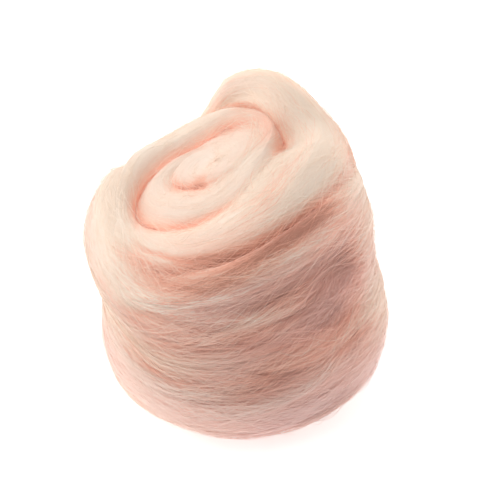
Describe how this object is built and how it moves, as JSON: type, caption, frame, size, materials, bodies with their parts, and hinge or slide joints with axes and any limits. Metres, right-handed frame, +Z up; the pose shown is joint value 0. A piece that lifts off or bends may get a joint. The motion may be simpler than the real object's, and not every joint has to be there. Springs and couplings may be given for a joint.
{
  "type": "wool roving roll",
  "caption": "Soft length of pale peach carded wool roving, wound on itself into a loose roll that stands on end with its spiral showing.",
  "frame": {"origin": "on the surface, under the middle of the roll", "axes": "+Z up, +X to the right and -Y to the front of the picture's view"},
  "size_m": [0.0794, 0.0732, 0.0775],
  "materials": {
    "wool": "matt, soft and hairy; fine carded fibres lying along the winding"
  },
  "bodies": {
    "root": {"wool_roll": "wool"}
  },
  "joints": []
}
